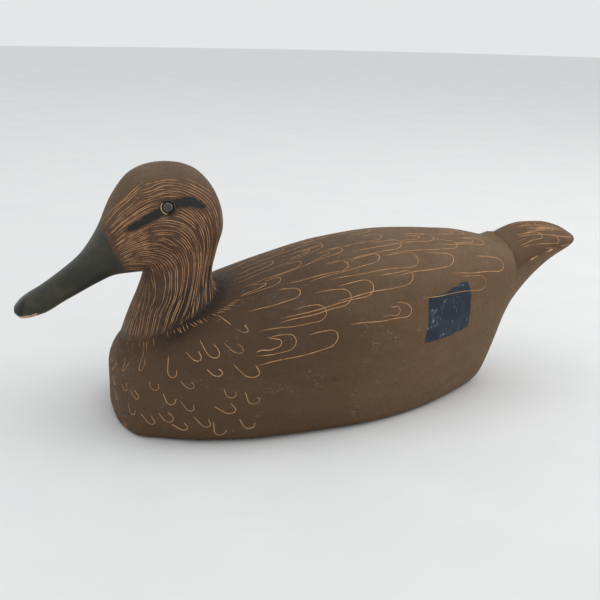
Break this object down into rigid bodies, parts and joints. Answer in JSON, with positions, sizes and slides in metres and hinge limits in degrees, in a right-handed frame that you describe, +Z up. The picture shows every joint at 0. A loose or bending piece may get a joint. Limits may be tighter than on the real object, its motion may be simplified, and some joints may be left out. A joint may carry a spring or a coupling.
{
  "type": "duck decoy",
  "caption": "Hollow carved wooden duck decoy that floats upright on a flat weighted underside, with a separate head, glass eyes and a folding ring for an anchor line.",
  "frame": {"origin": "middle of the bounding box in plan, at the level of the flat underside", "axes": "+Z up; the duck faces -X, so +X runs from bill to tail; its left side faces -Y"},
  "size_m": [0.4297, 0.169, 0.1791],
  "materials": {
    "painted_body": "matte brown oil paint over wood, scratched and dusty",
    "painted_head": "matte brown oil paint combed through to bare wood; olive bill",
    "raw_wood": "planed pine, sealed",
    "dowel_wood": "turned hardwood",
    "steel": "plain steel",
    "brass": "dull brass",
    "lead": "dull cast lead",
    "eye_glass": "dark brown glass, glossy",
    "putty": "set putty, painted over"
  },
  "bodies": {
    "decoy": {"body": "painted_body", "bottom_board": "raw_wood", "head": "painted_head", "head_dowel": "dowel_wood", "head_screw": "steel", "head_screw_washer": "steel", "eye_left": "eye_glass", "eye_putty_left": "putty", "eye_wire_left": "steel", "eye_right": "eye_glass", "eye_putty_right": "putty", "eye_wire_right": "steel", "board_screw_1": "brass", "board_screw_2": "brass", "board_screw_3": "brass", "board_screw_4": "brass", "board_screw_5": "brass", "board_screw_6": "brass", "ballast_weight": "lead", "ballast_screw_front": "brass", "ballast_screw_rear": "brass", "line_staple": "brass"},
    "ring": {"line_ring": "brass"}
  },
  "joints": [
    {"name": "ring_hinge", "type": "hinge", "parent": "decoy", "child": "ring", "pos_m": [-0.088, 0, 0.0044], "axis": [0, 1, 0], "range_deg": [0, 100]}
  ]
}
